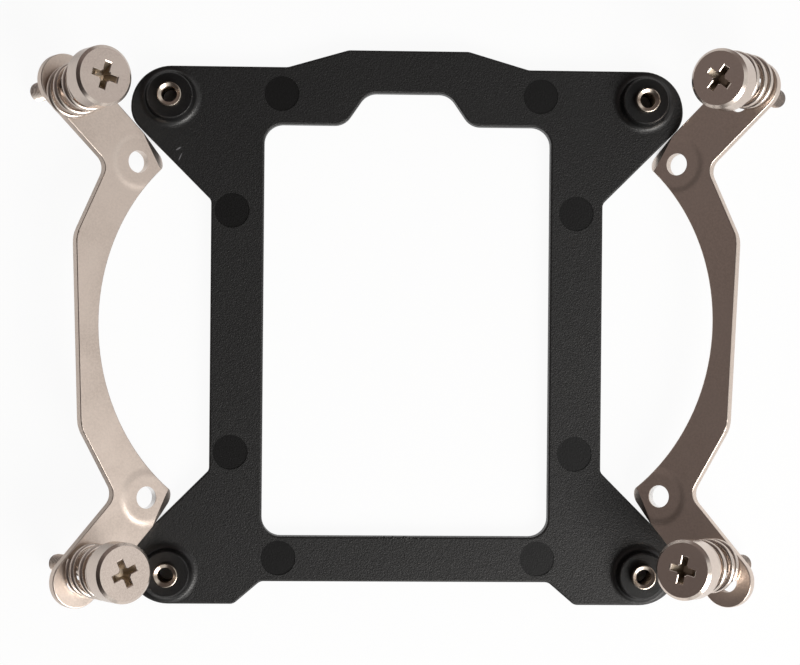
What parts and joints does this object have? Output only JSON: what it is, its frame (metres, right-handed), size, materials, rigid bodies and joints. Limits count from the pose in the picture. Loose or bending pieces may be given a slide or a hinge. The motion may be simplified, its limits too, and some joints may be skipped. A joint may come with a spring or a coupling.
{
  "type": "cpu cooler mounting bracket",
  "caption": "Mounting bracket for a processor cooler: a moulded frame-shaped back plate with threaded bushes, and arc-sided stamped arms with captive spring screws.",
  "frame": {"origin": "middle of the bush pattern, on the plane of the back plate's underside, which lies on the table", "axes": "+X right and +Y up as the plate is looked at from its bush side, +Z out of that side"},
  "size_m": [0.1198, 0.0876, 0.0233],
  "materials": {
    "black_nylon": "fine moulded grain",
    "nickel_sheet": "satin nickel plate",
    "bush_nickel": "bright nickel plate",
    "screw_nickel": "satin nickel plate",
    "spring_steel": "bright nickel plate",
    "clip_steel": "plain spring steel"
  },
  "bodies": {
    "base": {"back_plate": "black_nylon", "bush_upper_left": "bush_nickel", "bush_upper_right": "bush_nickel", "bush_lower_left": "bush_nickel", "bush_lower_right": "bush_nickel", "left_arm": "nickel_sheet", "right_arm": "nickel_sheet"},
    "upper_left_spring": {"spring_upper_left": "spring_steel"},
    "upper_left_clip": {"clip_upper_left": "clip_steel"},
    "upper_left_screw": {"screw_upper_left": "screw_nickel"},
    "upper_right_spring": {"spring_upper_right": "spring_steel"},
    "upper_right_clip": {"clip_upper_right": "clip_steel"},
    "upper_right_screw": {"screw_upper_right": "screw_nickel"},
    "lower_left_spring": {"spring_lower_left": "spring_steel"},
    "lower_left_clip": {"clip_lower_left": "clip_steel"},
    "lower_left_screw": {"screw_lower_left": "screw_nickel"},
    "lower_right_spring": {"spring_lower_right": "spring_steel"},
    "lower_right_clip": {"clip_lower_right": "clip_steel"},
    "lower_right_screw": {"screw_lower_right": "screw_nickel"}
  },
  "joints": [
    {"name": "upper_left_slot_slide", "type": "slide", "parent": "base", "child": "upper_left_spring", "axis": [-0.6216, 0.6914, 0.3684], "range_m": [-0.00236, 0.00094]},
    {"name": "upper_left_plunge", "type": "slide", "parent": "upper_left_spring", "child": "upper_left_clip", "axis": [-0.5314, -0.0266, -0.8467], "range_m": [0, 0.004], "stiffness_N_per_m": 8800, "deforming": ["spring_upper_left"]},
    {"name": "upper_left_turn", "type": "hinge", "parent": "upper_left_clip", "child": "upper_left_screw", "pos_m": [-0.05249, 0.03834, 0.0105], "axis": [0.5314, 0.0266, 0.8467], "continuous": true},
    {"name": "upper_right_slot_slide", "type": "slide", "parent": "base", "child": "upper_right_spring", "axis": [0.6185, 0.686, 0.3832], "range_m": [-0.00259, 0.00071]},
    {"name": "upper_right_plunge", "type": "slide", "parent": "upper_right_spring", "child": "upper_right_clip", "axis": [0.5621, -0.0454, -0.8258], "range_m": [0, 0.004], "stiffness_N_per_m": 8800, "deforming": ["spring_upper_right"]},
    {"name": "upper_right_turn", "type": "hinge", "parent": "upper_right_clip", "child": "upper_right_screw", "pos_m": [0.0528, 0.03899, 0.01028], "axis": [-0.5621, 0.0454, 0.8258], "continuous": true},
    {"name": "lower_left_slot_slide", "type": "slide", "parent": "base", "child": "lower_left_spring", "axis": [-0.5756, -0.722, 0.3839], "range_m": [-0.00048, 0.00282]},
    {"name": "lower_left_plunge", "type": "slide", "parent": "lower_left_spring", "child": "lower_left_clip", "axis": [-0.5314, -0.0266, -0.8467], "range_m": [0, 0.004], "stiffness_N_per_m": 8800, "deforming": ["spring_lower_left"]},
    {"name": "lower_left_turn", "type": "hinge", "parent": "lower_left_clip", "child": "lower_left_screw", "pos_m": [-0.04895, -0.03591, 0.01061], "axis": [0.5314, 0.0266, 0.8467], "continuous": true},
    {"name": "lower_right_slot_slide", "type": "slide", "parent": "base", "child": "lower_right_spring", "axis": [0.5491, -0.7262, 0.4137], "range_m": [-0.0004, 0.0029]},
    {"name": "lower_right_plunge", "type": "slide", "parent": "lower_right_spring", "child": "lower_right_clip", "axis": [0.5621, -0.0454, -0.8258], "range_m": [0, 0.004], "stiffness_N_per_m": 8800, "deforming": ["spring_lower_right"]},
    {"name": "lower_right_turn", "type": "hinge", "parent": "lower_right_clip", "child": "lower_right_screw", "pos_m": [0.04787, -0.03529, 0.01101], "axis": [-0.5621, 0.0454, 0.8258], "continuous": true}
  ]
}
